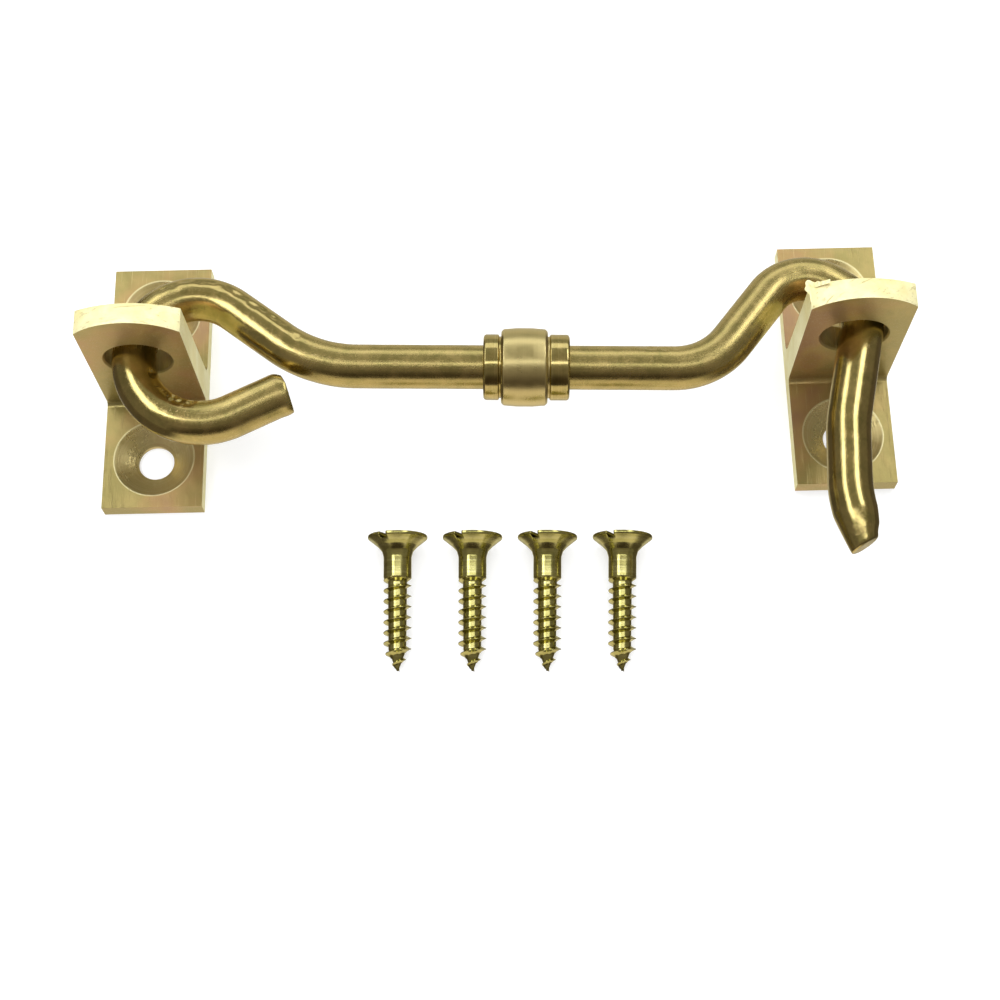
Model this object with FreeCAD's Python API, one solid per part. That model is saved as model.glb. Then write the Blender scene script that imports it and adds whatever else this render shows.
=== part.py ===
import FreeCAD, Part
import math
import os

# Cabin hook set in solid brass, laid out on a bench: a cranked round hook whose closed curl is
# captive in the eye of the fixed plate and whose open tail passes down through the eye of the
# catch plate, a turned collar half way along the hook, and the four wood screws of the set.
#
# Millimetres.  Both plates lie on their backs in the plane z = 0.  The origin is the centre of the
# fixed plate's back face, +X runs along the hook to the catch plate, +Y is up when the plates are
# on a vertical frame, and +Z stands out of the plates.

Vec = FreeCAD.Vector

# Eye plates: a T section cut to short lengths, drilled for the eye and for two screws.
PLATE_WIDTH = 15.0
PLATE_HEIGHT = 39.8
PLATE_THICK = 2.7
LUG_THICK = 3.7
LUG_TAPER = 0.9
LUG_CENTRE_Y = -0.85
LUG_CORNER_Z = 26.0
LUG_NOSE_UNDER = 3.2
LUG_NOSE_TOP = 2.0
ROOT_FILLET_TOP = 1.6
ROOT_FILLET_UNDER = 0.8
EYE_Z = 17.3
EYE_RADIUS = 4.85
EYE_CHAMFER = 0.25
SCREW_HOLE_RADIUS = 2.7
SCREW_HOLE_SPACING = 24.0
COUNTERSINK_RADIUS = 6.0
COUNTERSINK_HALF_ANGLE = 59.0

# Where the catch plate sits when the hook is home in both eyes.
CATCH_X = 103.9
CATCH_Y = 1.3

# Hook: round bar bent in the plane through both eyes.
ROD_RADIUS = 3.175
TAIL_TIP_RADIUS = 1.8
TAIL_TAPER_LENGTH = 5.6
CURL_END_CHAMFER = 0.35

# Corners of the hook's centreline in X and Y, each with the bend radius that rounds it.
CURL_END = (21.7, -8.2)
HOOK_CORNERS = [
    (-0.6, -18.8, 10.2),
    (-0.6, 16.3, 8.8),
    (25.5, -4.3, 19.3),
    (82.7, -6.1, 10.4),
    (95.9, 10.5, 6.7),
    (105.9, 3.3, 6.2),
    (101.8, -15.0, 24.0),
    (101.1, -26.0, 20.0),
]
TAIL_END = (102.5, -34.0)
TAIL_TIP_SLANT = 14.0

# Collar turned in one piece and fixed on the straight run of the hook.
COLLAR_X = 56.2
COLLAR_BARREL_RADIUS = 5.5
COLLAR_BARREL_CROWN = 0.15
COLLAR_BARREL_LENGTH = 6.7
COLLAR_SHOULDER_RADIUS = 4.75
COLLAR_SHOULDER_LENGTH = 2.85
COLLAR_GROOVE = 0.3
COLLAR_EDGE = 0.35

# Slotted countersunk wood screw.
SCREW_LENGTH = 20.0
SCREW_HEAD_RADIUS = 4.4
SCREW_HEAD_RIM = 0.3
SCREW_SHANK_RADIUS = 2.05
SCREW_CORE_RADIUS = 1.3
SCREW_THREAD_LENGTH = 13.2
SCREW_PITCH = 1.55
SCREW_POINT_LENGTH = 3.1
SCREW_SLOT_WIDTH = 1.1
SCREW_SLOT_DEPTH = 0.95
SCREW_SLOT_TURN = 62.0
SCREW_COUNT = 4
SCREW_FIRST_X = 36.8
SCREW_SPACING = 11.0
SCREW_ROW_DROP = 0.25
SCREW_HEAD_Y = -26.0
SCREW_FIRST_TURN = -0.7
SCREW_TURN_STEP = -0.55


def extrude_x(profile, x0, length):
    """Solid from a closed outline of (y, z) points, extruded along +X from x0."""
    points = [Vec(x0, y, z) for y, z in profile]
    face = Part.Face(Part.makePolygon(points + points[:1]))
    return face.extrude(Vec(length, 0, 0))


def root_fillet(corner_y, side, radius):
    """Concave fillet between the plate's front face and one flat side of the lug."""
    block = Part.makeBox(PLATE_WIDTH, radius, radius)
    low_y = corner_y if side > 0 else corner_y - radius
    block.translate(Vec(-PLATE_WIDTH / 2, low_y, PLATE_THICK))
    centre = Vec(-PLATE_WIDTH / 2, corner_y + side * radius, PLATE_THICK + radius)
    return block.cut(Part.makeCylinder(radius, PLATE_WIDTH, centre, Vec(1, 0, 0)))


def nose_outline(y, bulge):
    """Outline of the lug seen along Y: straight sides and a bowed end."""
    half = PLATE_WIDTH / 2
    left = Vec(-half, y, LUG_CORNER_Z)
    right = Vec(half, y, LUG_CORNER_Z)
    arc = Part.Arc(right, Vec(0, y, LUG_CORNER_Z + bulge), left).toShape()
    foot_left = Vec(-half, y, 0)
    foot_right = Vec(half, y, 0)
    sides = [
        Part.makeLine(foot_left, foot_right),
        Part.makeLine(foot_right, right),
        arc,
        Part.makeLine(left, foot_left),
    ]
    return Part.Wire(sides)


def make_lug():
    """Lug of the T, thicker at its root and bowed at its end, more so on the underside."""
    under_y = LUG_CENTRE_Y - LUG_THICK / 2
    top_y = LUG_CENTRE_Y + LUG_THICK / 2
    end_z = LUG_CORNER_Z + LUG_NOSE_UNDER + 1.0
    profile = [
        (under_y, PLATE_THICK / 2),
        (top_y + LUG_TAPER, PLATE_THICK / 2),
        (top_y + LUG_TAPER, PLATE_THICK),
        (top_y, LUG_CORNER_Z),
        (top_y, end_z),
        (under_y, end_z),
    ]
    blank = extrude_x(profile, -PLATE_WIDTH / 2, PLATE_WIDTH)
    bulge_slope = (LUG_NOSE_TOP - LUG_NOSE_UNDER) / LUG_THICK
    reach = 1.5
    outlines = [
        nose_outline(under_y - reach, LUG_NOSE_UNDER - bulge_slope * reach),
        nose_outline(top_y + reach, LUG_NOSE_TOP + bulge_slope * reach),
    ]
    nose = Part.makeLoft(outlines, True, True)
    return blank.common(nose)


def eye_cutter():
    """Through hole of the eye with a small chamfer at both mouths."""
    under_y = LUG_CENTRE_Y - LUG_THICK / 2
    top_y = LUG_CENTRE_Y + LUG_THICK / 2
    axis = Vec(0, 1, 0)
    bore = Part.makeCylinder(EYE_RADIUS, LUG_THICK + 4, Vec(0, under_y - 2, EYE_Z), axis)
    wide = EYE_RADIUS + 2 * EYE_CHAMFER
    span = 2 * EYE_CHAMFER
    lower = Part.makeCone(wide, EYE_RADIUS, span, Vec(0, under_y - EYE_CHAMFER, EYE_Z), axis)
    taper_at_eye = LUG_TAPER * (LUG_CORNER_Z - EYE_Z) / (LUG_CORNER_Z - PLATE_THICK)
    upper_mouth = top_y + taper_at_eye + EYE_CHAMFER
    upper = Part.makeCone(wide, EYE_RADIUS, span, Vec(0, upper_mouth, EYE_Z), Vec(0, -1, 0))
    return bore.fuse([lower, upper])


def screw_hole_cutter(y):
    """Clearance hole with a countersink that opens on the plate's front face."""
    depth = (COUNTERSINK_RADIUS - SCREW_HOLE_RADIUS) / math.tan(math.radians(COUNTERSINK_HALF_ANGLE))
    hole = Part.makeCylinder(SCREW_HOLE_RADIUS, PLATE_THICK + 2, Vec(0, y, -1))
    cone = Part.makeCone(SCREW_HOLE_RADIUS, COUNTERSINK_RADIUS, depth, Vec(0, y, PLATE_THICK - depth))
    return hole.fuse(cone)


def make_eye_plate():
    """One eye plate with its back face centred on the origin."""
    base = Part.makeBox(
        PLATE_WIDTH, PLATE_HEIGHT, PLATE_THICK, Vec(-PLATE_WIDTH / 2, -PLATE_HEIGHT / 2, 0)
    )
    root_top = LUG_CENTRE_Y + LUG_THICK / 2 + LUG_TAPER
    root_under = LUG_CENTRE_Y - LUG_THICK / 2
    added = [
        make_lug(),
        root_fillet(root_top, 1, ROOT_FILLET_TOP),
        root_fillet(root_under, -1, ROOT_FILLET_UNDER),
    ]
    plate = base.fuse(added).removeSplitter()
    cutters = [eye_cutter()]
    for side in (-1, 1):
        cutters.append(screw_hole_cutter(side * SCREW_HOLE_SPACING / 2))
    return plate.cut(cutters)


def rounded_centreline(start, corners, end):
    """Wire in the plane z = EYE_Z through start and end, with each corner rounded by an arc."""
    edges = []
    nodes = [start] + [corner[:2] for corner in corners] + [end]
    here = Vec(start[0], start[1], EYE_Z)
    for index, (x, y, radius) in enumerate(corners, start=1):
        corner = Vec(x, y, EYE_Z)
        back = (Vec(*nodes[index - 1], EYE_Z) - corner).normalize()
        ahead = (Vec(*nodes[index + 1], EYE_Z) - corner).normalize()
        half_angle = back.getAngle(ahead) / 2
        setback = radius / math.tan(half_angle)
        centre = corner + (back + ahead).normalize() * (radius / math.sin(half_angle))
        first = corner + back * setback
        last = corner + ahead * setback
        middle = centre + (corner - centre).normalize() * radius
        edges.append(Part.makeLine(here, first))
        edges.append(Part.Arc(first, middle, last).toShape())
        here = last
    edges.append(Part.makeLine(here, Vec(end[0], end[1], EYE_Z)))
    return Part.Wire(edges)


def make_hook_rod():
    """The bent bar, with a flat sheared curl end and a tapered tail."""
    last_corner = HOOK_CORNERS[-1]
    tail_run = Vec(TAIL_END[0] - last_corner[0], TAIL_END[1] - last_corner[1], 0)
    tail_dir = Vec(tail_run).normalize()
    tip = Vec(TAIL_END[0], TAIL_END[1], EYE_Z)
    taper_start = tip - tail_dir * TAIL_TAPER_LENGTH

    spine = rounded_centreline(CURL_END, HOOK_CORNERS, (taper_start.x, taper_start.y))
    first_corner = HOOK_CORNERS[0]
    curl_dir = Vec(first_corner[0] - CURL_END[0], first_corner[1] - CURL_END[1], 0).normalize()
    start = Vec(CURL_END[0], CURL_END[1], EYE_Z)
    section = Part.Wire(Part.makeCircle(ROD_RADIUS, start, curl_dir))
    bar = spine.makePipeShell([section], True, True)
    if bar.Volume < 0:
        bar.reverse()

    spare = TAIL_TIP_RADIUS
    spare_radius = TAIL_TIP_RADIUS - (ROD_RADIUS - TAIL_TIP_RADIUS) * spare / TAIL_TAPER_LENGTH
    taper_length = TAIL_TAPER_LENGTH + spare
    taper = Part.makeCone(ROD_RADIUS, spare_radius, taper_length, taper_start, tail_dir)
    shear_turn = FreeCAD.Rotation(Vec(0, 0, 1), TAIL_TIP_SLANT)
    shear_dir = shear_turn.multVec(tail_dir)
    taper = taper.cut(Part.makeCylinder(3 * ROD_RADIUS, 3 * ROD_RADIUS, tip, shear_dir))

    chamfer_cone = Part.makeCone(
        ROD_RADIUS - CURL_END_CHAMFER, ROD_RADIUS, CURL_END_CHAMFER, start, curl_dir
    )
    end_slice = Part.makeCylinder(ROD_RADIUS + CURL_END_CHAMFER, CURL_END_CHAMFER, start, curl_dir)
    bar = bar.cut(end_slice.cut(chamfer_cone))
    return bar.fuse(taper).removeSplitter()


def make_centre_collar():
    """Turned collar: two shoulders and a wider crowned barrel, with a fine groove between them."""
    left, right = HOOK_CORNERS[2], HOOK_CORNERS[3]
    run = Vec(right[0] - left[0], right[1] - left[1], 0)
    middle_y = left[1] + (COLLAR_X - left[0]) * run.y / run.x
    half_barrel = COLLAR_BARREL_LENGTH / 2
    half_length = half_barrel + COLLAR_SHOULDER_LENGTH
    shoulder_floor = COLLAR_SHOULDER_RADIUS - COLLAR_GROOVE
    # Half of the outline from the barrel's middle out to one end, as (along, radius).
    half_outline = [
        (half_barrel - COLLAR_EDGE, COLLAR_BARREL_RADIUS),
        (half_barrel, COLLAR_BARREL_RADIUS - COLLAR_EDGE),
        (half_barrel, shoulder_floor),
        (half_barrel + COLLAR_GROOVE, shoulder_floor),
        (half_barrel + COLLAR_GROOVE, COLLAR_SHOULDER_RADIUS - COLLAR_GROOVE / 2),
        (half_barrel + 2 * COLLAR_GROOVE, COLLAR_SHOULDER_RADIUS),
        (half_length - COLLAR_EDGE, COLLAR_SHOULDER_RADIUS),
        (half_length, COLLAR_SHOULDER_RADIUS - COLLAR_EDGE),
        (half_length, ROD_RADIUS),
    ]
    right_side = [Vec(along, radius, 0) for along, radius in half_outline]
    left_side = [Vec(-along, radius, 0) for along, radius in reversed(half_outline)]
    crown = Part.Arc(
        left_side[-1], Vec(0, COLLAR_BARREL_RADIUS + COLLAR_BARREL_CROWN, 0), right_side[0]
    ).toShape()
    outer_right = Part.makePolygon(right_side)
    outer_left = Part.makePolygon(left_side)
    bore_line = Part.makeLine(right_side[-1], left_side[0])
    outline = Part.Wire(outer_left.Edges + [crown] + outer_right.Edges + [bore_line])
    collar = Part.Face(outline).revolve(Vec(0, 0, 0), Vec(1, 0, 0), 360)
    collar.rotate(Vec(0, 0, 0), Vec(0, 0, 1), math.degrees(math.atan2(run.y, run.x)))
    collar.translate(Vec(COLLAR_X, middle_y, EYE_Z))
    return collar


def screw_outline():
    """Screw's half outline as (radius, height above the point), with ring-shaped thread crests."""
    outline = [(0, 0)]
    thread_top = SCREW_THREAD_LENGTH
    crest_height = SCREW_PITCH / 2
    while crest_height < thread_top - SCREW_PITCH / 2:
        grow = min(1.0, crest_height / SCREW_POINT_LENGTH)
        crest = SCREW_SHANK_RADIUS * grow
        root_grow = min(1.0, (crest_height + SCREW_PITCH / 2) / SCREW_POINT_LENGTH)
        outline.append((crest, crest_height))
        outline.append((SCREW_CORE_RADIUS * root_grow, crest_height + SCREW_PITCH / 2))
        crest_height += SCREW_PITCH
    cone_height = SCREW_HEAD_RADIUS - SCREW_SHANK_RADIUS
    rim_base = SCREW_LENGTH - SCREW_HEAD_RIM
    outline += [
        (SCREW_SHANK_RADIUS, thread_top),
        (SCREW_SHANK_RADIUS, rim_base - cone_height),
        (SCREW_HEAD_RADIUS, rim_base),
        (SCREW_HEAD_RADIUS, SCREW_LENGTH),
        (0, SCREW_LENGTH),
    ]
    return outline


def lying_tilt():
    """Angle of a screw that lies on its head's rim and on its first full thread crest."""
    crests = int(SCREW_POINT_LENGTH / SCREW_PITCH + 0.5)
    first_full = SCREW_PITCH / 2 + crests * SCREW_PITCH
    rise = SCREW_HEAD_RADIUS - SCREW_SHANK_RADIUS
    return math.atan2(rise, SCREW_LENGTH - first_full)


def make_screw(x, head_y, turn):
    """One screw lying on the bench, its head at (x, head_y) and turned by so many degrees from +Y."""
    points = [Vec(radius, 0, height) for radius, height in screw_outline()]
    face = Part.Face(Part.makePolygon(points + points[:1]))
    screw = face.revolve(Vec(0, 0, 0), Vec(0, 0, 1), 360)
    slot = Part.makeBox(
        4 * SCREW_HEAD_RADIUS,
        SCREW_SLOT_WIDTH,
        2 * SCREW_SLOT_DEPTH,
        Vec(-2 * SCREW_HEAD_RADIUS, -SCREW_SLOT_WIDTH / 2, SCREW_LENGTH - SCREW_SLOT_DEPTH),
    )
    slot.rotate(Vec(0, 0, 0), Vec(0, 0, 1), SCREW_SLOT_TURN)
    screw = screw.cut(slot)
    tilt = lying_tilt()
    screw.rotate(Vec(0, 0, 0), Vec(1, 0, 0), math.degrees(tilt) - 90)
    screw.translate(Vec(0, -SCREW_LENGTH * math.cos(tilt), 0))
    screw.rotate(Vec(0, 0, 0), Vec(0, 0, 1), turn)
    screw.translate(Vec(x, head_y, 0))
    screw.translate(Vec(0, 0, -screw.BoundBox.ZMin))
    return screw


def main():
    os.makedirs("parts", exist_ok=True)
    catch_plate = make_eye_plate()
    catch_plate.translate(Vec(CATCH_X, CATCH_Y, 0))
    pieces = {
        "fixed_eye_plate": make_eye_plate(),
        "catch_eye_plate": catch_plate,
        "hook_rod": make_hook_rod(),
        "centre_collar": make_centre_collar(),
    }
    for number in range(SCREW_COUNT):
        x = SCREW_FIRST_X + number * SCREW_SPACING
        head_y = SCREW_HEAD_Y - number * SCREW_ROW_DROP
        turn = SCREW_FIRST_TURN + number * SCREW_TURN_STEP
        pieces[f"wood_screw_{number + 1}"] = make_screw(x, head_y, turn)
    for name, shape in pieces.items():
        shape.exportStep(f"parts/{name}.step")


main()
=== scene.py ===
import math

import bmesh
import bpy
from mathutils import Matrix, Vector, noise


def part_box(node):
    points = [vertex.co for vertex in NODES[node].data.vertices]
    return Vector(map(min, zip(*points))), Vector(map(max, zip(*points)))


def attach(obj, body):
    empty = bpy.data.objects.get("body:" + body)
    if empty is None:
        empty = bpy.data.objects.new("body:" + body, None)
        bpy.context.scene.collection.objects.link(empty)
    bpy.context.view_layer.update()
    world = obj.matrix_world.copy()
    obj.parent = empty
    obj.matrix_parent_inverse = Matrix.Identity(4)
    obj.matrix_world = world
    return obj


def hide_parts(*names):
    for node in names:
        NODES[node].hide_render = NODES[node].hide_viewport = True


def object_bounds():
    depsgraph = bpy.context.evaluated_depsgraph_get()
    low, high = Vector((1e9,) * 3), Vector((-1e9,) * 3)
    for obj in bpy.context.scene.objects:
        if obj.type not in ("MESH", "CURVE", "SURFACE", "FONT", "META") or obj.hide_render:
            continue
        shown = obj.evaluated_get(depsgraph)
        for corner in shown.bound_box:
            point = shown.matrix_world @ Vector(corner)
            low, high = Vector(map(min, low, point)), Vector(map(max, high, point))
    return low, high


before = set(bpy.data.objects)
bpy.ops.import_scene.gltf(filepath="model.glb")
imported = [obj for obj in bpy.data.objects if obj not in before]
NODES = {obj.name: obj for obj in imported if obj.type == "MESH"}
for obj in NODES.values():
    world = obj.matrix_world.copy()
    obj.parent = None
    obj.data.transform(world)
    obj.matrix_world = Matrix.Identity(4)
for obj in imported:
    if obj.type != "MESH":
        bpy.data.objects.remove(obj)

# Brass cabin hook set on a bench.  Lengths in this script are millimetres, in the CAD's frame, and
# meshes and lights are scaled to metres by MM when they are made.

MM = 0.001
CAD_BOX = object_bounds()
TO_RIGHT = Vector((1, 0, 0))
TO_BACK = Vector((0, 1, 0))  # the upper edge of the picture
UP = Vector((0, 0, 1))  # away from the bench

# ---------------------------------------------------------------- the camera and the light

CAMERA_TILT = 21.2
CAMERA_ROLL = -1.3
CAMERA_DISTANCE = 251.3
CAMERA_AIM_Y = -25.7
CAMERA_LENS = 64.5
LIGHT_REACH = 620.0

# The room and the bench as the brass mirrors them, and the room as the camera sees it.
ROOM_OVERHEAD = (0.31, 0.29, 0.22, 1)
ROOM_BEHIND = (0.36, 0.35, 0.28, 1)
ROOM_SIDES = (0.20, 0.18, 0.14, 1)
ROOM_FRONT = (0.22, 0.19, 0.15, 1)
ROOM_FAR_FRONT = (0.06, 0.045, 0.03, 1)
BENCH_IN_FRONT = (0.90, 0.80, 0.64, 1)
BENCH_UNDER = (0.60, 0.56, 0.44, 1)
BENCH_BESIDE = (0.12, 0.10, 0.075, 1)
ROOM_SEEN = (0.96, 0.96, 0.96, 1)
# Where one part of the room gives way to the next: from and to along one axis of the direction.
NEAR_BENCH_FADE = (-0.25, -0.05)
BENCH_SIDE_FADE = (0.42, 0.56)
BEHIND_FADE = (0.25, 0.65)
FAR_FRONT_FADE = (-0.95, -0.65)
FRONT_FADE = (-0.55, -0.28)
ROOM_SIDE_FADE = (0.58, 0.72)
HORIZON_FADE = (-0.10, 0.02)

BENCH_HALF = 1500.0
BENCH_COLOUR = (0.62, 0.635, 0.665, 1)
BENCH_ROUGHNESS = 0.9
BENCH_GLOW = 0.45


def box_mm(node):
    """Lowest and highest corner of a CAD node, in millimetres."""
    low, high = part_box(node)
    return low / MM, high / MM


def middle(node):
    """Centre of a CAD node's box, in millimetres."""
    low, high = box_mm(node)
    return (low + high) / 2


SET_MIDDLE = (CAD_BOX[0] + CAD_BOX[1]) / (2 * MM)
EYES_MIDDLE = (middle("fixed_eye_plate") + middle("catch_eye_plate")) / 2
ROD_Z = middle("hook_rod").z


def make_camera():
    """Camera above the bench, tipped towards the lower ends of the plates."""
    aim = Vector((EYES_MIDDLE.x, CAMERA_AIM_Y, ROD_Z))
    tilt = math.radians(CAMERA_TILT)
    back = Vector((0, -math.sin(tilt), math.cos(tilt)))
    over = Vector((0, math.cos(tilt), math.sin(tilt)))
    roll = math.radians(CAMERA_ROLL)
    side = math.cos(roll) * TO_RIGHT + math.sin(roll) * over
    top = -math.sin(roll) * TO_RIGHT + math.cos(roll) * over
    data = bpy.data.cameras.new("camera")
    data.lens = CAMERA_LENS
    data.clip_start = 0.01
    data.clip_end = 20
    camera = bpy.data.objects.new("camera", data)
    bpy.context.scene.collection.objects.link(camera)
    turn = Matrix((side, top, back)).transposed()
    place = (aim + back * CAMERA_DISTANCE) * MM
    camera.matrix_world = Matrix.Translation(place) @ turn.to_4x4()
    bpy.context.scene.camera = camera


def strip_light(name, across, along, size, radiance, long_way, mirrored=True):
    """Softbox strip seen from the set at the given angles from straight up, as bright as radiance.

    across is the angle towards +X and along the angle towards +Y, in degrees; size is width, length.
    A light that isn't mirrored only lights what is matt.
    """
    lean = Vector((math.tan(math.radians(across)), math.tan(math.radians(along)), 1)).normalized()
    place = SET_MIDDLE + lean * LIGHT_REACH
    data = bpy.data.lights.new(name, "AREA")
    data.shape = "RECTANGLE"
    data.size = size[0] * MM
    data.size_y = size[1] * MM
    data.energy = radiance * math.pi * data.size * data.size_y
    light = bpy.data.objects.new(name, data)
    light.visible_glossy = mirrored
    side = long_way.cross(lean).normalized()
    turn = Matrix((side, lean.cross(side), lean)).transposed()
    light.matrix_world = Matrix.Translation(place * MM) @ turn.to_4x4()
    bpy.context.scene.collection.objects.link(light)


def make_lights():
    """A frame of four softbox strips over the set, as the brass mirrors it, and two soft fills."""
    strip_light("strip_left", -34, 19, (180, 620), 2.9, TO_BACK)
    strip_light("strip_right", 31, 27, (180, 380), 2.9, TO_BACK)
    strip_light("strip_top", 0, 58, (230, 700), 0.95, TO_RIGHT)
    strip_light("strip_front", 0, -8, (80, 700), 2.0, TO_RIGHT)
    strip_light("fill_overhead", 0, 0, (900, 900), 1.7, TO_BACK, mirrored=False)
    strip_light("fill_front", 0, -65, (700, 500), 1.6, TO_BACK, mirrored=False)


def make_world():
    """Room and bench as the brass mirrors them: dim overhead and behind, dark brown in front of
    the set, and below that the near part of a pale bench."""
    world = bpy.data.worlds.new("studio")
    world.use_nodes = True
    tree = world.node_tree

    def fade(value, ends):
        node = tree.nodes.new("ShaderNodeMapRange")
        node.interpolation_type = "SMOOTHSTEP"
        node.inputs["From Min"].default_value = ends[0]
        node.inputs["From Max"].default_value = ends[1]
        tree.links.new(value, node.inputs["Value"])
        return node.outputs["Result"]

    def blend(factor, first, second):
        node = tree.nodes.new("ShaderNodeMix")
        node.data_type = "RGBA"
        tree.links.new(factor, node.inputs["Factor"])
        for socket, value in ((node.inputs[6], first), (node.inputs[7], second)):
            if isinstance(value, bpy.types.NodeSocket):
                tree.links.new(value, socket)
            else:
                socket.default_value = value
        return node.outputs[2]

    place = tree.nodes.new("ShaderNodeTexCoord")
    split = tree.nodes.new("ShaderNodeSeparateXYZ")
    tree.links.new(place.outputs["Generated"], split.inputs[0])
    to_right, to_back, to_top = split.outputs
    absolute = tree.nodes.new("ShaderNodeMath")
    absolute.operation = "ABSOLUTE"
    tree.links.new(to_right, absolute.inputs[0])
    sideways = absolute.outputs[0]
    near = blend(fade(to_back, NEAR_BENCH_FADE), BENCH_IN_FRONT, BENCH_UNDER)
    bench = blend(fade(sideways, BENCH_SIDE_FADE), near, BENCH_BESIDE)
    behind = blend(fade(to_back, BEHIND_FADE), ROOM_OVERHEAD, ROOM_BEHIND)
    facing = blend(fade(to_back, FAR_FRONT_FADE), ROOM_FAR_FRONT, ROOM_FRONT)
    front = blend(fade(to_back, FRONT_FADE), facing, behind)
    above = blend(fade(sideways, ROOM_SIDE_FADE), front, ROOM_SIDES)
    room = blend(fade(to_top, HORIZON_FADE), bench, above)
    seen = tree.nodes.new("ShaderNodeLightPath")
    shown = blend(seen.outputs["Is Camera Ray"], room, ROOM_SEEN)
    tree.links.new(shown, tree.nodes["Background"].inputs["Color"])
    bpy.context.scene.world = world
    bpy.context.scene.view_settings.view_transform = "Standard"


def make_floor():
    """Plain white bench top.  The brass mirrors the world's bench in its place."""
    mesh = bpy.data.meshes.new("bench")
    half = BENCH_HALF * MM
    corners = [(-half, -half, 0), (half, -half, 0), (half, half, 0), (-half, half, 0)]
    mesh.from_pydata(corners, [], [(0, 1, 2, 3)])
    bench = bpy.data.objects.new("bench", mesh)
    bench.visible_glossy = False
    bpy.context.scene.collection.objects.link(bench)
    material = bpy.data.materials.new("bench_white")
    material.use_nodes = True
    shader = material.node_tree.nodes["Principled BSDF"]
    shader.inputs["Base Color"].default_value = BENCH_COLOUR
    shader.inputs["Roughness"].default_value = BENCH_ROUGHNESS
    shader.inputs["Emission Color"].default_value = (1, 1, 1, 1)
    shader.inputs["Emission Strength"].default_value = BENCH_GLOW
    mesh.materials.append(material)


# ---------------------------------------------------------------- the brass

class Tree:
    """Short way to write a material's nodes: inputs are numbers, colours or other nodes' outputs."""

    def __init__(self, name):
        self.material = bpy.data.materials.new(name)
        self.material.use_nodes = True
        self.nodes = self.material.node_tree.nodes
        self.links = self.material.node_tree.links
        self.shader = self.nodes["Principled BSDF"]

    def put(self, socket, value):
        if isinstance(value, bpy.types.NodeSocket):
            self.links.new(value, socket)
        else:
            socket.default_value = value

    def add(self, kind, inputs, output=0, **settings):
        """A new node with these inputs, and one of its outputs."""
        node = self.nodes.new(kind)
        for name, value in settings.items():
            setattr(node, name, value)
        for name, value in inputs.items():
            self.put(node.inputs[name], value)
        return node.outputs[output]

    def parts(self, vector):
        """X, Y and Z of a vector."""
        self.add("ShaderNodeSeparateXYZ", {0: vector})
        return self.nodes[-1].outputs

    def maths(self, operation, first, second=0.0):
        return self.add("ShaderNodeMath", {0: first, 1: second}, operation=operation)

    def object_place(self, origin=(0, 0, 0)):
        """Position on the piece in millimetres from origin."""
        here = self.add("ShaderNodeTexCoord", {}, "Object")
        scaled = self.add("ShaderNodeVectorMath", {0: here, 3: 1 / MM}, operation="SCALE")
        return self.add("ShaderNodeVectorMath", {0: scaled, 1: origin}, operation="SUBTRACT")

    def stretch(self, vector, scale):
        return self.add("ShaderNodeVectorMath", {0: vector, 1: scale}, operation="MULTIPLY")

    def grain(self, vector, scale, detail=3.0, roughness=0.55, distortion=0.0):
        """Noise between 0 and 1 at so many blobs a millimetre."""
        inputs = {"Vector": vector, "Scale": scale, "Detail": detail, "Roughness": roughness}
        inputs["Distortion"] = distortion
        return self.add("ShaderNodeTexNoise", inputs, "Fac")

    def ramp(self, value, low, high, to_low=0.0, to_high=1.0, smooth=False):
        inputs = {"Value": value, "From Min": low, "From Max": high}
        inputs["To Min"] = to_low
        inputs["To Max"] = to_high
        kind = "SMOOTHSTEP" if smooth else "LINEAR"
        return self.add("ShaderNodeMapRange", inputs, interpolation_type=kind)

    def mix(self, factor, first, second):
        """A colour between first and second."""
        return self.add("ShaderNodeMix", {0: factor, 6: first, 7: second}, 2, data_type="RGBA")

    def bump(self, height, distance, strength, before=None):
        """Bump of height at so many millimetres, on top of an earlier bump."""
        inputs = {"Height": height, "Distance": distance * MM, "Strength": strength}
        if before is not None:
            inputs["Normal"] = before
        return self.add("ShaderNodeBump", inputs)

    def finish(self, colour, roughness, normal, metallic=1.0):
        self.put(self.shader.inputs["Metallic"], metallic)
        self.put(self.shader.inputs["Base Color"], colour)
        self.put(self.shader.inputs["Roughness"], roughness)
        self.put(self.shader.inputs["Normal"], normal)
        return self.material


BRASS_PALE = (0.78, 0.66, 0.33, 1)
BRASS_MID = (0.64, 0.51, 0.21, 1)
BRASS_OLIVE = (0.46, 0.39, 0.15, 1)
BRASS_BROWN = (0.52, 0.32, 0.20, 1)
BRASS_TARNISH = (0.10, 0.075, 0.03, 1)
BRASS_ORANGE = (0.66, 0.44, 0.20, 1)
COLLAR_COLOURS = (BRASS_OLIVE, BRASS_MID, BRASS_PALE)
SCREW_COLOURS = ((0.44, 0.41, 0.14, 1), (0.62, 0.57, 0.22, 1), (0.80, 0.76, 0.42, 1))
# Pale fresh-cut brass of the sawn faces, also used for the painted highlight ring on the countersink rims.
BRASS_CUT_AND_HIGHLIGHT = (1.0, 0.95, 0.58, 1)
BRASS_CUT_DULL = (0.92, 0.84, 0.42, 1)
BRASS_CUT_LINE = (0.60, 0.50, 0.20, 1)


def scratches(tree, vector, direction, reach=3.0):
    """Thin lines that run along direction, 0 where there are none and 1 on a scratch."""
    scale = [reach * 1.6 if abs(part) < 0.5 else 0.12 for part in direction]
    lines = tree.grain(tree.stretch(vector, scale), 1.0, detail=5.0, roughness=0.7)
    return tree.ramp(lines, 0.57, 0.66)


# The plates' section as the brass shades it: edges of the sawn faces and of the countersinks.
PLATE_HALF_WIDTH = 7.5
PLATE_THICKNESS = 2.7
LUG_NOSE = 22.5
SCREW_HOLE_SPACING = 24.0
COUNTERSINK_RADIUS = 6.0
PLATE_TARNISH = 0.14


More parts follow.
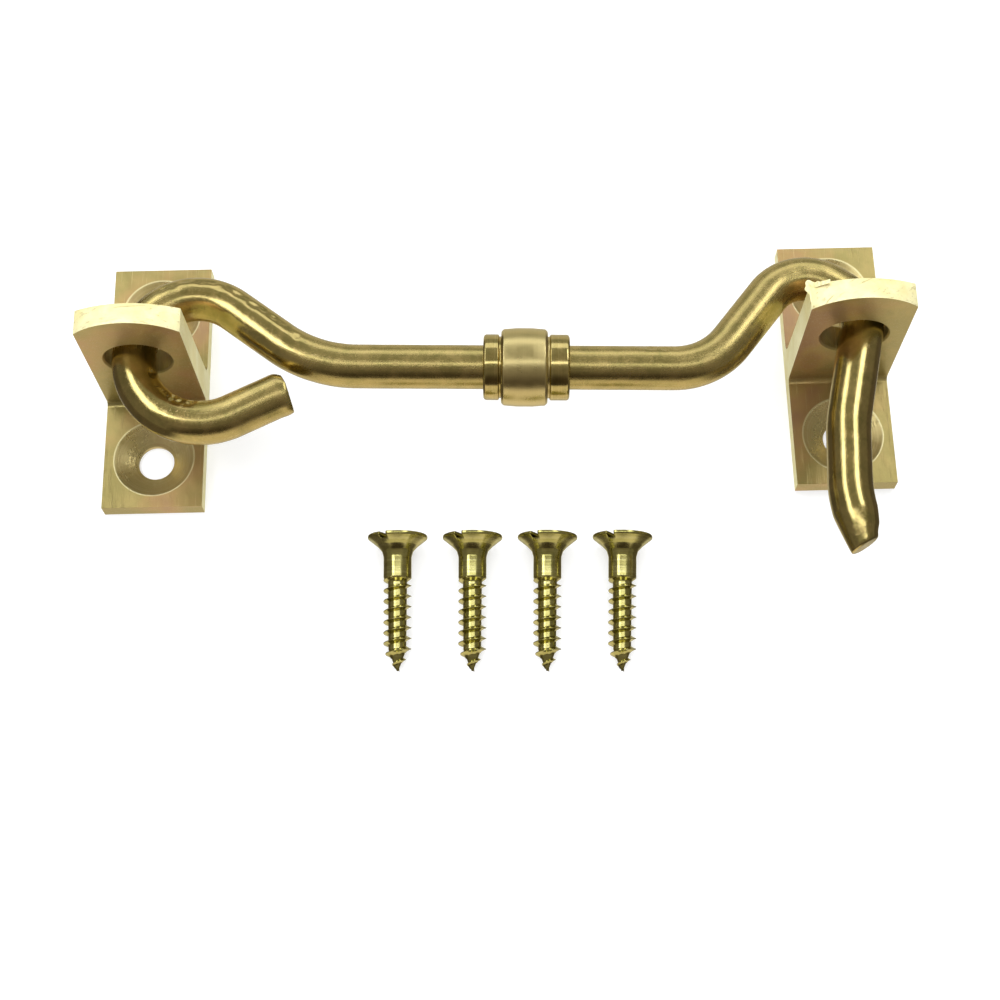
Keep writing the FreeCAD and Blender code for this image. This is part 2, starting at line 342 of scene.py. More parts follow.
def sawn_brass(name, origin, score_turn, stain_lean):
    """Brass section stock: satin drawn faces, turned countersinks with a painted highlight round each rim,
    and matt sawn sides and lug end.

    stain_lean is how much browner the stain gets for each millimetre towards +X.
    """
    tree = Tree(name)
    place = tree.object_place(origin)
    x, y, z = tree.parts(place)
    facing = tree.add(
        "ShaderNodeVectorTransform",
        {0: tree.add("ShaderNodeNewGeometry", {}, "True Normal")},
        vector_type="NORMAL",
        convert_from="WORLD",
        convert_to="OBJECT",
    )
    face_x, face_y, face_z = tree.parts(facing)
    is_nose = tree.ramp(tree.maths("ABSOLUTE", face_y), 0.8, 0.6)
    is_end = tree.maths("MULTIPLY", is_nose, tree.ramp(z, LUG_NOSE, LUG_NOSE + 1))
    off_middle = tree.maths("ABSOLUTE", x)
    is_flank = tree.ramp(off_middle, PLATE_HALF_WIDTH - 0.5, PLATE_HALF_WIDTH - 0.2)
    is_side = tree.maths("MULTIPLY", tree.ramp(tree.maths("ABSOLUTE", face_x), 0.85, 0.95), is_flank)
    is_cut = tree.maths("MAXIMUM", is_end, is_side)
    from_hole = tree.maths("SUBTRACT", tree.maths("ABSOLUTE", y), SCREW_HOLE_SPACING / 2)
    round_hole = tree.add("ShaderNodeCombineXYZ", {0: x, 1: from_hole})
    radius = tree.add("ShaderNodeVectorMath", {0: round_hole}, "Value", operation="LENGTH")
    in_sink = tree.ramp(radius, COUNTERSINK_RADIUS + 0.1, COUNTERSINK_RADIUS + 0.05)
    below_face = tree.ramp(z, PLATE_THICKNESS + 0.02, PLATE_THICKNESS - 0.04)
    is_sink = tree.maths("MULTIPLY", in_sink, below_face)
    # Mask of a thin ring at each countersink's rim, where a highlight is painted.
    off_rim = tree.maths("ABSOLUTE", tree.maths("SUBTRACT", radius, COUNTERSINK_RADIUS + 0.03))
    near_face = tree.ramp(z, PLATE_THICKNESS - 0.25, PLATE_THICKNESS - 0.15)
    painted_rim_highlight = tree.maths("MULTIPLY", tree.ramp(off_rim, 0.18, 0.06), near_face)

    mottle = tree.grain(place, 0.22, detail=5.0, roughness=0.62, distortion=0.4)
    stain = tree.grain(place, 0.09, detail=3.0, roughness=0.5)
    stain = tree.maths("ADD", stain, tree.maths("MULTIPLY", x, stain_lean))
    fine = tree.grain(place, 5.0, detail=4.0, roughness=0.7)
    drawn = scratches(tree, place, (0, 1, 0))
    turned = tree.add("ShaderNodeVectorRotate", {0: place, "Angle": score_turn}, rotation_type="Z_AXIS")
    scored = tree.maths("MULTIPLY", scratches(tree, turned, (1, 0, 0), reach=1.3), is_end)
    rings = tree.grain(tree.add("ShaderNodeCombineXYZ", {0: radius}), 3.5, detail=3.0)
    ringed = tree.maths("MULTIPLY", tree.ramp(rings, 0.4, 0.6), is_sink)

    colour = tree.mix(tree.ramp(mottle, 0.42, 0.78), BRASS_OLIVE, BRASS_MID)
    colour = tree.mix(tree.ramp(stain, 0.45, 0.62, 0.0, 0.85), colour, BRASS_ORANGE)
    colour = tree.mix(tree.ramp(stain, 0.58, 0.72, 0.0, 0.75), colour, BRASS_BROWN)
    colour = tree.mix(tree.maths("MULTIPLY", drawn, 0.5), colour, BRASS_PALE)
    pale_rings = tree.maths("MULTIPLY", ringed, 0.3)
    pale_sink = tree.maths("ADD", tree.maths("MULTIPLY", is_sink, 0.45), pale_rings)
    colour = tree.mix(pale_sink, colour, BRASS_PALE)
    colour = tree.mix(PLATE_TARNISH, colour, BRASS_TARNISH)
    # Painted highlight: a thin pale ring round each countersink's rim, standing in for light caught by the
    # rim's chamfer.
    colour = tree.mix(tree.maths("MULTIPLY", painted_rim_highlight, 0.6), colour, BRASS_CUT_AND_HIGHLIGHT)
    cut = tree.mix(tree.ramp(mottle, 0.40, 0.60), BRASS_CUT_DULL, BRASS_CUT_AND_HIGHLIGHT)
    cut = tree.mix(tree.maths("MULTIPLY", scored, 0.8), cut, BRASS_CUT_LINE)
    colour = tree.mix(is_cut, colour, cut)

    lines = tree.maths("ADD", tree.maths("MULTIPLY", drawn, 0.5), scored)
    rough = tree.ramp(mottle, 0.3, 0.7, 0.26, 0.38)
    rough = tree.maths("ADD", rough, tree.maths("MULTIPLY", fine, 0.06))
    rough = tree.maths("SUBTRACT", rough, tree.maths("MULTIPLY", is_sink, 0.05))
    dented = tree.bump(tree.grain(place, 0.6, detail=3.0), 0.3, 0.12)
    scored_bump = tree.bump(lines, 0.06, 0.6, dented)
    ring_bump = tree.bump(ringed, 0.02, 0.35, scored_bump)
    rough = tree.maths("ADD", rough, tree.maths("MULTIPLY", is_cut, 0.12))
    metallic = tree.ramp(is_cut, 0.0, 1.0, 0.85, 0.25)
    return tree.finish(colour, rough, tree.bump(fine, 0.05, 0.25, ring_bump), metallic)


def drawn_brass(name, polished):
    """Drawn bar: fine lines along it, tarnish in clouds and specks, and dull but where it is polished.

    polished lists (from, to) along the bar, in millimetres.
    """
    tree = Tree(name)
    sweep = tree.add("ShaderNodeUVMap", {}, uv_map="sweep")
    place = tree.object_place()
    along = tree.parts(sweep)[0]
    bright = 0.0
    for start, end in polished:
        stretch = tree.maths("MULTIPLY", tree.ramp(along, start - 4, start), tree.ramp(along, end + 4, end))
        bright = tree.maths("MAXIMUM", stretch, bright)
    lines = tree.grain(tree.stretch(sweep, (0.06, 4.0, 1.0)), 1.0, detail=5.0, roughness=0.7)
    cloud = tree.grain(place, 0.35, detail=6.0, roughness=0.7, distortion=0.3)
    specks = tree.grain(place, 2.4, detail=3.0, roughness=0.75)
    fine = tree.grain(place, 3.5, detail=4.0, roughness=0.7)
    colour = tree.mix(tree.ramp(cloud, 0.38, 0.62), BRASS_OLIVE, BRASS_MID)
    colour = tree.mix(tree.ramp(lines, 0.55, 0.8, 0.0, 0.6), colour, BRASS_PALE)
    colour = tree.mix(tree.ramp(specks, 0.60, 0.74, 0.0, 0.5), colour, BRASS_BROWN)
    rough = tree.ramp(cloud, 0.3, 0.7, 0.09, 0.17)
    rough = tree.maths("ADD", rough, tree.ramp(lines, 0.5, 0.7, 0.0, 0.04))
    rough = tree.maths("ADD", rough, tree.ramp(bright, 0.0, 1.0, 0.13, 0.0))
    waved = tree.bump(tree.grain(place, 0.5, detail=2.0), 0.2, 0.10)
    drawn = tree.bump(lines, 0.03, 0.4, waved)
    pitted = tree.bump(tree.ramp(specks, 0.60, 0.74, 1.0, 0.0), 0.02, 0.35, drawn)
    return tree.finish(colour, rough, tree.bump(fine, 0.03, 0.14, pitted))


def turned_brass(name, colours, shine, rings_per_mm, satin_half=0.0):
    """Lathe-turned brass: fine rings round the axis, which is the sweep map's first direction.

    colours are its dull, middle and pale brass, shine is the roughness where it is bright, and
    satin_half is how far from the middle of the piece it is satin and paler instead.
    """
    tree = Tree(name)
    sweep = tree.add("ShaderNodeUVMap", {}, uv_map="sweep")
    place = tree.object_place()
    rings = tree.grain(tree.stretch(sweep, (rings_per_mm, 0.03, 1.0)), 1.0, detail=3.0, roughness=0.6)
    cloud = tree.grain(place, 0.5, detail=4.0, roughness=0.6)
    fine = tree.grain(place, 4.0, detail=3.0, roughness=0.6)
    dull, middling, pale = colours
    colour = tree.mix(tree.ramp(cloud, 0.35, 0.65), dull, middling)
    colour = tree.mix(tree.ramp(rings, 0.5, 0.75, 0.0, 0.6), colour, pale)
    rough = tree.ramp(cloud, 0.3, 0.7, shine, shine + 0.08)
    if satin_half:
        away = tree.maths("ABSOLUTE", tree.parts(sweep)[0])
        satin = tree.ramp(away, satin_half + 0.05, satin_half - 0.05)
        colour = tree.mix(tree.maths("MULTIPLY", satin, 0.7), colour, pale)
        rough = tree.maths("ADD", rough, tree.maths("MULTIPLY", satin, 0.16))
    turned = tree.bump(rings, 0.03, 0.4)
    return tree.finish(colour, rough, tree.bump(fine, 0.02, 0.15, turned))


# ---------------------------------------------------------------- mesh helpers

SWEEP_AROUND = 20.0
SHARP_ANGLE = 40.0


def smoothstep(low, high, value):
    """0 below low, 1 above high and smooth between them."""
    share = min(1.0, max(0.0, (value - low) / (high - low)))
    return share * share * (3 - 2 * share)


def new_piece(name, body, slot, material, bm, *replaced):
    """Object from bm, in millimetres, that rides on body and stands for the replaced nodes."""
    bmesh.ops.recalc_face_normals(bm, faces=bm.faces)
    for face in bm.faces:
        face.smooth = True
    mesh = bpy.data.meshes.new(name)
    bm.to_mesh(mesh)
    bm.free()
    mesh.transform(Matrix.Scale(MM, 4))
    mesh.set_sharp_from_angle(angle=math.radians(SHARP_ANGLE))
    mesh.materials.append(material)
    piece = bpy.data.objects.new(name, mesh)
    bpy.context.scene.collection.objects.link(piece)
    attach(piece, body)
    if replaced:
        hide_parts(*replaced)


def skin(bm, rings, uvs, closed_ends=True):
    """Faces between rings of points, with a sweep map, and a point at each closed end.

    The map runs along the piece by uvs and SWEEP_AROUND units round it.
    """
    layer = bm.loops.layers.uv.get("sweep") or bm.loops.layers.uv.new("sweep")
    verts = [[bm.verts.new(point) for point in ring] for ring in rings]
    count = len(rings[0])
    step = SWEEP_AROUND / count

    def face(corners, places):
        made = bm.faces.new(corners)
        for loop, place in zip(made.loops, places):
            loop[layer].uv = place

    for row in range(len(rings) - 1):
        for turn in range(count):
            after = (turn + 1) % count
            corners = (verts[row][turn], verts[row][after], verts[row + 1][after], verts[row + 1][turn])
            places = (
                (uvs[row], turn * step),
                (uvs[row], (turn + 1) * step),
                (uvs[row + 1], (turn + 1) * step),
                (uvs[row + 1], turn * step),
            )
            face(corners, places)
    if closed_ends:
        for row in (0, len(rings) - 1):
            centre = sum((Vector(point) for point in rings[row]), Vector()) / count
            tip = bm.verts.new(centre)
            for turn in range(count):
                after = (turn + 1) % count
                corners = (verts[row][turn], verts[row][after], tip)
                places = (
                    (uvs[row], turn * step),
                    (uvs[row], (turn + 1) * step),
                    (uvs[row], turn * step),
                )
                face(corners, places)


def rounded_profile(points, radius, steps=4):
    """Outline through points with its inner corners rounded by small arcs."""
    made = [Vector(points[0])]
    for before, corner, after in zip(points, points[1:], points[2:]):
        corner = Vector(corner)
        back = Vector(before) - corner
        ahead = Vector(after) - corner
        reach = min(radius, back.length / 2.2, ahead.length / 2.2)
        first = corner + back.normalized() * reach
        last = corner + ahead.normalized() * reach
        for step in range(steps + 1):
            share = step / steps
            made.append((1 - share) ** 2 * first + 2 * share * (1 - share) * corner + share**2 * last)
    made.append(Vector(points[-1]))
    return made


# ---------------------------------------------------------------- the hook bar

ROD_RADIUS = 3.175
CURL_END = (21.7, -8.2)
HOOK_CORNERS = [
    (-0.6, -18.8, 10.2),
    (-0.6, 16.3, 8.8),
    (25.5, -4.3, 19.3),
    (82.7, -6.1, 10.4),
    (95.9, 10.5, 6.7),
    (105.9, 3.3, 6.2),
    (101.8, -15.0, 24.0),
    (101.1, -26.0, 20.0),
]
TAIL_END = (102.5, -34.0)
TAIL_TAPER = 5.6
TAIL_TIP_RADIUS = 2.1
TAIL_SLANT = 20.0
TAIL_DRAWN_BACK = 0.5
TAIL_SLANT_REACH = 3.5
# The curl's cropped end: a burr on its outer side, and an inner side that rolled in.
CURL_BURR = 0.16
CURL_LIP = 0.45
CURL_BURR_REACH = 2.6
ROLL_DEPTH = 0.7
ROLL_LENGTH = 1.3
ROD_WAVER = 0.012
# Rows of nicks that the bending tool left: from and to along the bar, round the bar in degrees
# with 90 on top, how far they scatter round it, how many there are, and how deep.
TOOL_MARKS = [
    (14.0, 26.0, 136.0, 24.0, 18, 0.30),
    (39.0, 61.0, 58.0, 24.0, 32, 0.20),
    (111.0, 117.0, 46.0, 16.0, 6, 0.20),
]
NICK_LENGTH = 0.42
NICK_REACH = 9.0
# Stretches along the bar that are still bright.
POLISHED = [(17.0, 26.0), (44.0, 60.0), (158.0, 195.0)]
ROD_SIDES = 80
ROD_STEP = 0.35
CAP_UV_STEP = 0.3


def walk(start, corners, end, step):
    """Points along the hook's centreline: place, direction and distance from the start."""
    made = []
    nodes = [start] + [corner[:2] for corner in corners] + [end]
    here = Vector((*start, ROD_Z))
    gone = 0.0

    def straight(finish):
        nonlocal here, gone
        run = finish - here
        count = max(1, round(run.length / step))
        for index in range(count):
            share = index / count
            made.append((here + run * share, run.normalized(), gone + run.length * share))
        gone += run.length
        here = finish

    for index, (x, y, radius) in enumerate(corners, start=1):
        corner = Vector((x, y, ROD_Z))
        back = (Vector((*nodes[index - 1], ROD_Z)) - corner).normalized()
        ahead = (Vector((*nodes[index + 1], ROD_Z)) - corner).normalized()
        half_angle = back.angle(ahead) / 2
        setback = radius / math.tan(half_angle)
        centre = corner + (back + ahead).normalized() * (radius / math.sin(half_angle))
        straight(corner + back * setback)
        turn = math.pi - 2 * half_angle
        sense = math.copysign(1.0, (-back).cross(ahead).z)
        spoke = here - centre
        count = max(4, round(turn * radius / step))
        for number in range(count):
            angle = sense * turn * number / count
            spun = Matrix.Rotation(angle, 3, "Z")
            made.append((centre + spun @ spoke, spun @ -back, gone + radius * abs(angle)))
        gone += radius * turn
        here = corner + ahead * setback
    straight(Vector((*end, ROD_Z)))
    last_direction = made[-1][1]
    made.append((here, last_direction, gone))
    return made


def scatter_nicks():
    """Each nick of the bending tool: distance along the bar, degrees round it, and depth."""
    nicks = []
    for start, end, centre, scatter, count, deepest in TOOL_MARKS:
        for number in range(count):
            seed = Vector((number * 1.37, centre * 0.11, 0.5))
            at = start + (end - start) * (number + 0.5 + noise.noise(seed)) / count
            around = centre + scatter * noise.noise(seed * 1.9)
            nicks.append((at, around, deepest * (0.6 + 0.6 * noise.noise(seed * 2.7))))
    return nicks


def nick_depth(nicks, distance, around):
    """How deep the nicks near that distance are there, in millimetres."""
    depth = 0.0
    for at, centre, deepest in nicks:
        off_along = (distance - at) / NICK_LENGTH
        off_round = ((math.degrees(around) - centre + 180) % 360 - 180) / NICK_REACH
        depth += deepest * math.exp(-off_along * off_along - off_round * off_round)
    return depth


def make_hook_bar(material):
    """Round bar bent to the hook: cropped at the curl with a burr, tapered and cut at the tail."""
    path = walk(CURL_END, HOOK_CORNERS, TAIL_END, ROD_STEP)
    length = path[-1][2]
    rings = []
    uvs = []
    slant = math.tan(math.radians(TAIL_SLANT))
    nicks = scatter_nicks()
    for place, direction, distance in path:
        side = UP.cross(direction)
        to_tail = length - distance
        taper = 1 - max(0.0, 1 - to_tail / TAIL_TAPER) ** 1.2
        near_curl = 1 - smoothstep(0.0, CURL_BURR_REACH, distance)
        rolled = max(0.0, 1 - distance / ROLL_LENGTH) ** 2
        shear = 1 - smoothstep(0.0, TAIL_SLANT_REACH, to_tail)
        near_nicks = [nick for nick in nicks if abs(nick[0] - distance) < 3 * NICK_LENGTH]
        ring = []
        for turn in range(ROD_SIDES):
            around = 2 * math.pi * turn / ROD_SIDES
            across = math.cos(around)
            radius = TAIL_TIP_RADIUS + (ROD_RADIUS - TAIL_TIP_RADIUS) * taper
            radius -= nick_depth(near_nicks, distance, around)
            radius += ROD_WAVER * noise.noise(Vector((distance * 0.35, across, math.sin(around))) * 1.5)
            radius += CURL_BURR * max(0.0, across) ** 2 * near_curl
            radius -= ROLL_DEPTH * (0.2 + 0.8 * max(0.0, -across)) * rolled
            point = place + radius * (across * side + math.sin(around) * UP)
            point += direction * CURL_LIP * max(0.0, across) * near_curl
            point -= direction * shear * (slant * across * radius + TAIL_DRAWN_BACK)
            ring.append(point)
        rings.append(ring)
        uvs.append(distance)

    def cap(outer, direction, depths):
        """Rings that close an end: each is (share of the radius, distance out along direction)."""
        centre = sum(outer, Vector()) / len(outer)
        made = []
        for share, out in depths:
            ring = []
            for index, point in enumerate(outer):
                grit = noise.noise(Vector((index * 0.9, share * 9.0, 2.0)))
                ring.append(centre + (point - centre) * share + direction * (out + 0.05 * grit * share))
            made.append(ring)
        return made

    curl_out = -path[0][1]
    tail_out = path[-1][1]
    dished = [(0.985, 0.05), (0.95, 0.10), (0.88, 0.10), (0.6, 0.02), (0.3, -0.06), (0.1, -0.08)]
    domed = [(0.97, 0.12), (0.90, 0.22), (0.78, 0.28), (0.5, 0.31), (0.2, 0.32)]
    start = cap(rings[0], curl_out, dished)
    end = cap(rings[-1], tail_out, domed)
    rings = start[::-1] + rings + end
    uvs = [-CAP_UV_STEP * (index + 1) for index in range(len(start))][::-1] + uvs
    uvs += [length + CAP_UV_STEP * (index + 1) for index in range(len(end))]
    bm = bmesh.new()
    skin(bm, rings, uvs)
    new_piece("hook_bar", "hook", "rod_brass", material, bm, "hook_rod")


# ---------------------------------------------------------------- the turned collar

COLLAR_SIDES = 112
BARREL_RADIUS = 5.5
BARREL_CROWN = 0.15
BARREL_HALF = 3.35
# The barrel sits a little off the middle of the collar.
BARREL_SHIFT = -0.3
SHOULDER_RADIUS = 4.75
SHOULDER_LENGTH = 2.85
GROOVE = 0.3
EDGE = 0.35


def collar_profile():
    """Outline of the collar from its left end to its right end, as (along, radius)."""
    end = BARREL_HALF + SHOULDER_LENGTH
    half = [
        (end, ROD_RADIUS - 0.1),
        (end, SHOULDER_RADIUS - EDGE),
        (end - 0.2, SHOULDER_RADIUS - 0.05),
        (end - 0.45, SHOULDER_RADIUS),
        (BARREL_HALF + GROOVE + 0.12, SHOULDER_RADIUS),
        (BARREL_HALF + GROOVE, SHOULDER_RADIUS - GROOVE / 2),
        (BARREL_HALF + GROOVE, SHOULDER_RADIUS - GROOVE),
        (BARREL_HALF, SHOULDER_RADIUS - GROOVE),
        (BARREL_HALF, BARREL_RADIUS - EDGE),
        (BARREL_HALF - EDGE, BARREL_RADIUS),
        (BARREL_HALF - 2.2, BARREL_RADIUS + BARREL_CROWN),
    ]
    outline = [(-along, radius) for along, radius in half] + half[::-1]
    shifted = []
    for along, radius in outline:
        share = 1 - smoothstep(BARREL_HALF + GROOVE, end - 1.1, abs(along))
        shifted.append((along + BARREL_SHIFT * share, radius))
    return rounded_profile(shifted, 0.12)


def make_collar(material):
    """The collar, with soft edges, a groove at each side of the barrel and a crowned barrel."""
    left, right = HOOK_CORNERS[2], HOOK_CORNERS[3]
    axis = Vector((right[0] - left[0], right[1] - left[1], 0)).normalized()
    side = UP.cross(axis)
    centre = middle("centre_collar")
    rings = []
    uvs = []
    for along, radius in collar_profile():
        ring = []
        for turn in range(COLLAR_SIDES):
            around = 2 * math.pi * turn / COLLAR_SIDES
            spoke = math.cos(around) * side + math.sin(around) * UP
            ring.append(centre + axis * along + spoke * radius)
        rings.append(ring)
        uvs.append(along)
    bm = bmesh.new()
    skin(bm, rings, uvs, closed_ends=False)
    ends = [edge for edge in bm.edges if edge.is_boundary]
    bmesh.ops.bridge_loops(bm, edges=ends)
    new_piece("turned_collar", "hook", "collar_brass", material, bm, "centre_collar")


# ---------------------------------------------------------------- the wood screws

SCREW_LENGTH = 20.0
HEAD_RADIUS = 4.4
HEAD_RIM = 0.5
SHANK_RADIUS = 2.05
CORE_RADIUS = 1.3
THREAD_LENGTH = 13.2
THREAD_PITCH = 1.55
POINT_LENGTH = 3.1
SLOT_WIDTH = 1.1
SLOT_DEPTH = 0.95
SLOT_TURN = 62.0
# Each screw lies turned a little more than the one before it.
FIRST_TURN = -0.7
TURN_STEP = -0.55
SCREW_SIDES = 64
SLOT_EDGE_ROUND = 0.07
THREAD_START = 0.12
THREAD_END = THREAD_LENGTH + 0.4
TIP_RADIUS = 0.05
GIMLET_LENGTH = 0.45
GIMLET_RADIUS = 0.30


def screw_blank():
    """Head, shank and core of the screw about +Z, with its point at the origin."""
    neck = SCREW_LENGTH - HEAD_RIM - (HEAD_RADIUS - SHANK_RADIUS)
    outline = [
        (0.0, TIP_RADIUS),
        (GIMLET_LENGTH, GIMLET_RADIUS),
        (POINT_LENGTH, CORE_RADIUS),
        (THREAD_LENGTH - 0.1, CORE_RADIUS + 0.10),
        (THREAD_END, SHANK_RADIUS),
        (neck - 0.4, SHANK_RADIUS),
        (neck + 0.5, SHANK_RADIUS + 0.25),
        (neck + 1.25, SHANK_RADIUS + 0.95),
        (SCREW_LENGTH - HEAD_RIM, HEAD_RADIUS - 0.03),
        (SCREW_LENGTH - HEAD_RIM / 2, HEAD_RADIUS),
        (SCREW_LENGTH - 0.04, HEAD_RADIUS - 0.06),
        (SCREW_LENGTH, HEAD_RADIUS - 0.3),
        (SCREW_LENGTH, HEAD_RADIUS * 0.5),
    ]
    rings = []
    uvs = []
    for along, radius in rounded_profile(outline, 0.14, 3):
        ring = []
        for turn in range(SCREW_SIDES):
            around = 2 * math.pi * turn / SCREW_SIDES
            ring.append(Vector((radius * math.cos(around), radius * math.sin(around), along)))
        rings.append(ring)
        uvs.append(along)
    bm = bmesh.new()
    skin(bm, rings, uvs)
    bmesh.ops.recalc_face_normals(bm, faces=bm.faces)
    return bm


def cut_slot(bm):
    """The blank with its driver slot cut across the head."""
    blank = bpy.data.meshes.new("blank")
    bm.to_mesh(blank)
    bm.free()
    tool_bm = bmesh.new()
    bmesh.ops.create_cube(tool_bm, size=1)
    size = Matrix.Diagonal((3 * HEAD_RADIUS, SLOT_WIDTH, 2 * SLOT_DEPTH, 1))
    turn = Matrix.Rotation(math.radians(SLOT_TURN), 4, "Z")
    place = Matrix.Translation((0, 0, SCREW_LENGTH))
    bmesh.ops.transform(tool_bm, matrix=place @ turn @ size, verts=tool_bm.verts)
    tool = bpy.data.meshes.new("slot_tool")
    tool_bm.to_mesh(tool)
    tool_bm.free()
    body = bpy.data.objects.new("blank", blank)
    cutter = bpy.data.objects.new("slot_tool", tool)
    for made in (body, cutter):
        bpy.context.scene.collection.objects.link(made)
    change = body.modifiers.new("slot", "BOOLEAN")
    change.object = cutter
    change.solver = "EXACT"
    depsgraph = bpy.context.evaluated_depsgraph_get()
    cut = bmesh.new()
    cut.from_mesh(body.evaluated_get(depsgraph).to_mesh())
    for made in (body, cutter):
        bpy.data.objects.remove(made)
    return cut


def soften_slot(bm):
    """Small round on the slot's edges."""
    floor = SCREW_LENGTH - SLOT_DEPTH - 0.02
    sharp = []
    for edge in bm.edges:
        high = min(vert.co.z for vert in edge.verts) > floor
        if high and len(edge.link_faces) == 2 and edge.calc_face_angle(0) > math.radians(50):
            sharp.append(edge)
    bmesh.ops.bevel(bm, geom=sharp, offset=SLOT_EDGE_ROUND, segments=2, profile=0.5, affect="EDGES")


def add_thread(bm):
    """Right-hand thread ridge wound on the core from the point to the shank."""
    steps = round(THREAD_END / THREAD_PITCH * SCREW_SIDES)
    # Ridge's section as (share of the pitch along the axis, share of the height).
    section = [
        (-0.36, -0.12), (-0.24, 0.10), (-0.10, 0.62), (-0.035, 0.97), (0.0, 1.0),
        (0.035, 0.97), (0.10, 0.62), (0.24, 0.10), (0.36, -0.12),
    ]
    rings = []
    uvs = []
    for step in range(steps):
        along = THREAD_START + step * THREAD_PITCH / SCREW_SIDES
        around = 2 * math.pi * step / SCREW_SIDES
        core = TIP_RADIUS + (CORE_RADIUS - TIP_RADIUS) * smoothstep(-1.2, POINT_LENGTH, along)
        up_point = max(0.0, along - GIMLET_LENGTH) / (POINT_LENGTH - GIMLET_LENGTH)
        core = min(core, GIMLET_RADIUS + (CORE_RADIUS - GIMLET_RADIUS) * up_point)
        grown = 0.2 + 0.8 * smoothstep(0.0, POINT_LENGTH, along)
        started = smoothstep(0.0, 0.5, step / SCREW_SIDES)
        faded = started * smoothstep(0.0, 0.1, (steps - step) / SCREW_SIDES)
        height = (SHANK_RADIUS - CORE_RADIUS) * grown * max(faded, 0.02)
        width = THREAD_PITCH * (0.45 + 0.55 * grown)
        spoke = Vector((math.cos(around), math.sin(around), 0))
        ring = []
        for shift, rise in section:
            reach = min(CORE_RADIUS, core) + height * rise
            ring.append(spoke * max(0.01, reach) + UP * (along + shift * width))
        rings.append(ring)
        uvs.append(along)
    skin(bm, rings, uvs)


def make_screws(material):
    """The four screws, each lying as its CAD node lies: on the head's rim and on the thread."""
    first_full = THREAD_PITCH / 2 + int(POINT_LENGTH / THREAD_PITCH + 0.5) * THREAD_PITCH
    tilt = math.atan2(HEAD_RADIUS - SHANK_RADIUS, SCREW_LENGTH - first_full)
    master = cut_slot(screw_blank())
    soften_slot(master)
    add_thread(master)
    bmesh.ops.transform(master, matrix=Matrix.Rotation(tilt - math.pi / 2, 4, "X"), verts=master.verts)
    for number in range(1, 5):
        low, high = box_mm(f"wood_screw_{number}")
        bm = master.copy()
        turn = Matrix.Rotation(math.radians(FIRST_TURN + (number - 1) * TURN_STEP), 4, "Z")
        bmesh.ops.transform(bm, matrix=turn, verts=bm.verts)
        own_high = Vector([max(vert.co[axis] for vert in bm.verts) for axis in range(3)])
        own_low = Vector([min(vert.co[axis] for vert in bm.verts) for axis in range(3)])
        middle_x = (low.x + high.x - own_high.x - own_low.x) / 2
        shift = Vector((middle_x, high.y - own_high.y, low.z - own_low.z))
        bmesh.ops.translate(bm, vec=shift, verts=bm.verts)
        body = f"screw_{number}"
        new_piece(f"brass_screw_{number}", body, "screw_brass", material, bm, f"wood_screw_{number}")
    master.free()


# ---------------------------------------------------------------- the eye plates

# The CAD's mesh is welded and its flat faces made whole before its edges are rounded.
WELD_REACH = 0.002
FLAT_ANGLE = 0.5
EDGE_ROUND = 0.16
EDGE_ANGLE = 20.0
# For each plate, the direction of the saw's scores on its lug's end, in degrees from +X, and how
# its stain leans.
PLATE_FINISH = {"fixed_eye_plate": (-6.0, 0.004), "catch_eye_plate": (-32.0, -0.024)}


def dress_plates():
    """The CAD's plates, with softened edges and sawn brass.  Gives back each plate's material."""
    finishes = {}
    for node, (score_turn, stain_lean) in PLATE_FINISH.items():
        low, high = box_mm(node)
        origin = Vector(((low.x + high.x) / 2, (low.y + high.y) / 2, low.z))
        plate = NODES[node]
        plate.data.materials.clear()
        turn = math.radians(score_turn)
        brass = sawn_brass(f"{node}_brass", origin, turn, stain_lean)
        plate.data.materials.append(brass)
        finishes[node] = brass
        weld = plate.modifiers.new("weld", "WELD")
        weld.merge_threshold = WELD_REACH * MM
        planar = plate.modifiers.new("planar", "DECIMATE")
        planar.decimate_type = "DISSOLVE"
        planar.angle_limit = math.radians(FLAT_ANGLE)
        bevel = plate.modifiers.new("soft_edges", "BEVEL")
        bevel.width = EDGE_ROUND * MM
        bevel.segments = 3
        bevel.limit_method = "ANGLE"
        bevel.angle_limit = math.radians(EDGE_ANGLE)
        bevel.harden_normals = True
    return finishes


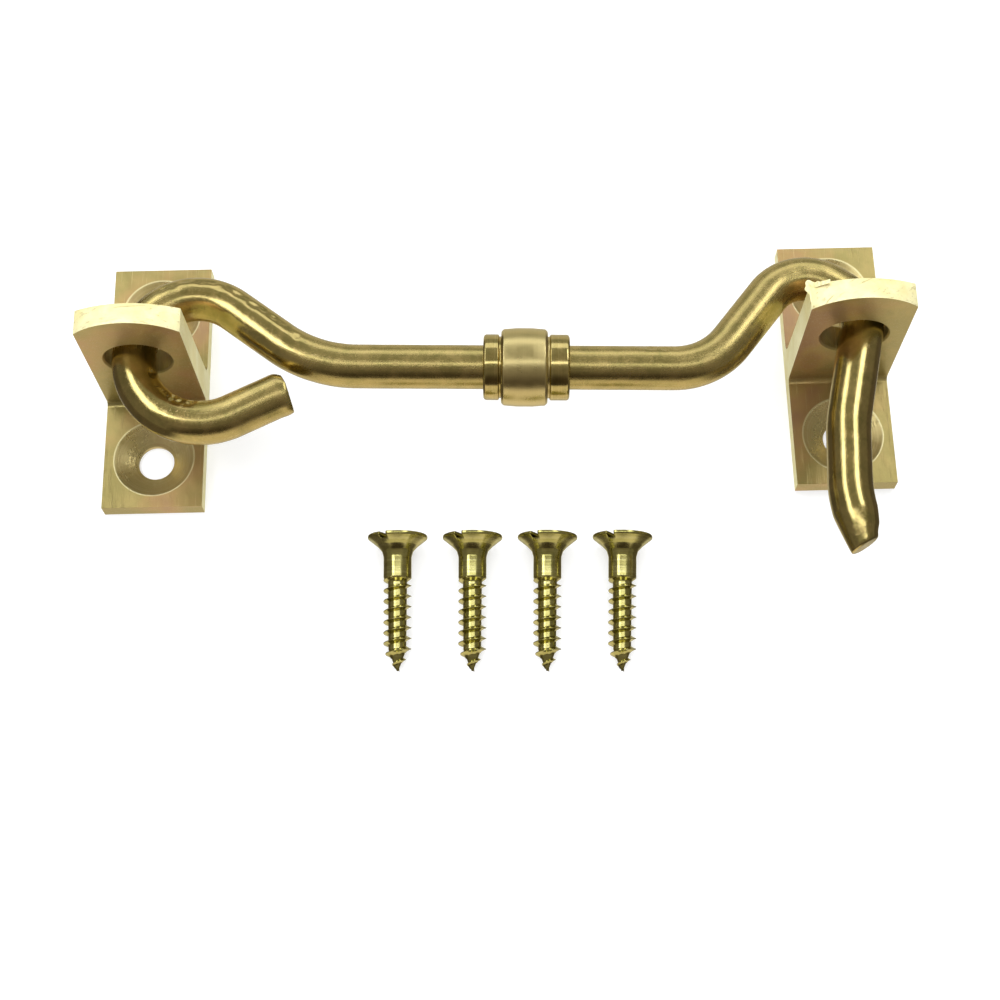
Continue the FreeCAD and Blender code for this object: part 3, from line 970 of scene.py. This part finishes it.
# How far the saw's burr runs each way from the lug's corner, how far it stands out there, and the
# share of its run that it takes to die away.
SAW_BURR_REACH = 2.6
SAW_BURR_LENGTH = 0.85
SAW_BURR_SPREAD = 0.38
SAW_BURR_STEPS = 60


def make_saw_burr(material):
    """Ragged lip that the saw left on the end of the catch plate's lug, round one corner."""
    low, high = box_mm("catch_eye_plate")
    points = [vert.co / MM for vert in NODES["catch_eye_plate"].data.vertices]
    left_points = [point for point in points if point.x < low.x + 0.05]
    corner = max(left_points, key=lambda point: (point.z, point.y))
    half_width = (high.x - low.x) / 2
    rings = []
    uvs = []
    for step in range(SAW_BURR_STEPS + 1):
        share = 2 * step / SAW_BURR_STEPS - 1
        x = corner.x + max(0.0, share) * SAW_BURR_REACH
        y = corner.y + min(0.0, share) * SAW_BURR_REACH
        off = (low.x + half_width - x) / half_width
        base = Vector((x, y, corner.z + (high.z - corner.z) * (1 - off * off)))
        turn = math.pi * (0.75 - 0.25 * math.tanh(5 * share))
        out = Vector((math.cos(turn), math.sin(turn), 0))
        ragged = 0.85 + 0.7 * noise.noise(Vector((share * 5.0, 0.3, 0.0)))
        length = 0.08 + SAW_BURR_LENGTH * math.exp(-((share / SAW_BURR_SPREAD) ** 2)) * ragged
        lift = 0.12 * noise.noise(Vector((share * 9.0, 4.0, 0.0)))
        rings.append(
            [
                base - out * 0.35 - UP * 0.45,
                base + out * length * 0.45 - UP * 0.30,
                base + out * length + UP * (lift - 0.05),
                base + out * length * 0.5 + UP * (lift + 0.06),
                base - out * 0.55 + UP * 0.03,
            ]
        )
        uvs.append(share)
    bm = bmesh.new()
    skin(bm, rings, uvs)
    new_piece("saw_burr", "catch_plate", "plate_brass", material, bm)


make_camera()
make_lights()
make_world()
make_floor()
make_hook_bar(drawn_brass("drawn_brass", POLISHED))
make_collar(turned_brass("turned_brass", COLLAR_COLOURS, 0.10, 5.0, BARREL_HALF))
make_screws(turned_brass("screw_brass", SCREW_COLOURS, 0.14, 2.5))
plate_finishes = dress_plates()
make_saw_burr(plate_finishes["catch_eye_plate"])
